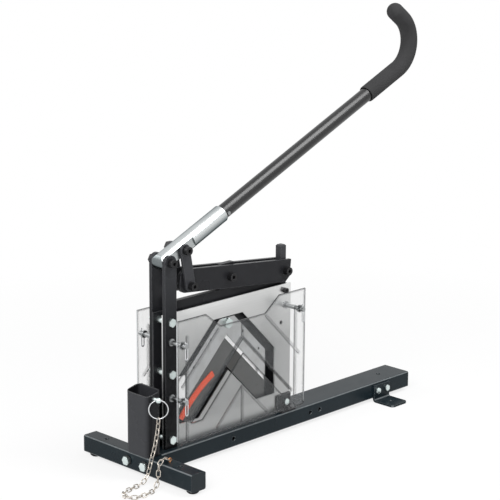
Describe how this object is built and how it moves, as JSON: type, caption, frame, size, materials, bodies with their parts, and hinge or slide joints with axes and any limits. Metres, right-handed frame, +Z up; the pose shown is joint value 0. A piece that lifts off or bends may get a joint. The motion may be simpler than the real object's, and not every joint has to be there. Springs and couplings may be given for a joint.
{
  "type": "edge protector cutter",
  "caption": "Bench cutter for right-angled board edge protectors: a long lever drives paired blades down through a guarded window onto mitred dies, on a tube base.",
  "frame": {"origin": "on the floor, under the middle of the outer box (the tether chain left out)", "axes": "+X along the base tube from the cross foot to the tail, +Y to the rear guard, +Z up"},
  "size_m": [0.9771, 0.336, 0.9256],
  "materials": {
    "black_coat": "satin powder coat, slightly blue black",
    "black_plastic": "moulded end caps",
    "pad_rubber": "matt rubber",
    "zinc": "bright zinc plate",
    "bright_wire": "bright plated wire",
    "black_bolt": "black oxide",
    "plate_steel": "polished sheet with a fine grain",
    "blade_steel": "ground tool steel",
    "red_strip": "orange red paint",
    "clear_sheet": "clear plastic sheet",
    "socket_zinc": "bright zinc plate",
    "handle_coat": "dark grey gloss coat",
    "foam": "closed-cell foam",
    "copper": "coppered wire"
  },
  "bodies": {
    "base": {"base_tube": "black_coat", "tube_end_plate": "black_coat", "tail_cap": "black_plastic", "cross_foot": "black_coat", "foot_caps": "black_plastic", "floor_pads": "pad_rubber", "foot_bolts": "zinc", "foot_washers": "black_bolt", "tail_bracket": "black_coat", "tail_bolts": "zinc", "tail_nuts": "zinc", "holder_cup": "black_coat", "front_upright": "black_coat", "rear_upright": "black_coat", "upright_bolts": "zinc", "upright_spacers": "zinc", "upright_nuts": "zinc", "front_plate": "plate_steel", "rear_plate": "black_coat", "guide_bar": "black_coat", "post": "black_coat", "plate_clips": "black_coat", "clip_bolts": "zinc", "plate_screws": "black_bolt", "left_die": "blade_steel", "right_die": "blade_steel", "die_support": "black_coat", "die_screws": "black_bolt", "warning_strip": "red_strip", "front_guard": "clear_sheet", "rear_guard": "clear_sheet", "guard_pins": "zinc", "hairpin_clips": "bright_wire", "pivot_bolt": "black_bolt", "pivot_nut": "black_bolt", "chain_eye": "copper", "tether_chain": "bright_wire"},
    "lever": {"lever_socket": "socket_zinc", "handle_tube": "handle_coat", "foam_grip": "foam"},
    "button": {"snap_button": "zinc"},
    "links": {"front_link": "black_coat", "rear_link": "black_coat", "link_bolt": "black_bolt", "link_nut": "black_bolt"},
    "beam": {"front_beam_bar": "black_coat", "rear_beam_bar": "black_coat", "beam_spacer": "zinc", "beam_bolts": "black_bolt", "beam_nuts": "black_bolt"},
    "carrier": {"blade_carrier": "black_coat", "left_blade": "blade_steel", "right_blade": "blade_steel", "apex_bolt": "zinc", "blade_screws": "black_bolt"},
    "pin": {"lock_pin": "zinc", "pull_ring": "bright_wire"}
  },
  "joints": [
    {"name": "lever_swing", "type": "hinge", "parent": "base", "child": "lever", "pos_m": [-0.35403, 0, 0.446], "axis": [0, 1, 0], "range_deg": [0, 25]},
    {"name": "link_swing", "type": "hinge", "parent": "lever", "child": "links", "pos_m": [-0.31018, 0, 0.46552], "axis": [0, -1, 0], "range_deg": [0, 20.83]},
    {"name": "beam_swing", "type": "hinge", "parent": "base", "child": "beam", "pos_m": [-0.00203, 0, 0.366], "axis": [0, -1, 0], "range_deg": [0, 4.13]},
    {"name": "carrier_slide", "type": "slide", "parent": "base", "child": "carrier", "axis": [0, 0, -1], "range_m": [0, 0.0125]},
    {"name": "button_press", "type": "slide", "parent": "lever", "child": "button", "axis": [0, 1, 0], "range_m": [0, 0.0035], "stiffness_N_per_m": 400},
    {"name": "lock_pin_pull", "type": "slide", "parent": "base", "child": "pin", "axis": [0, -1, 0], "range_m": [0, 0.035], "deforming": ["tether_chain"]}
  ],
  "couplings": [
    {"joint": "beam_swing", "follows": "lever_swing", "ratio": 0.16466},
    {"joint": "link_swing", "follows": "lever_swing", "ratio": 0.83275},
    {"joint": "carrier_slide", "follows": "lever_swing", "m_per_rad": 0.028577}
  ]
}
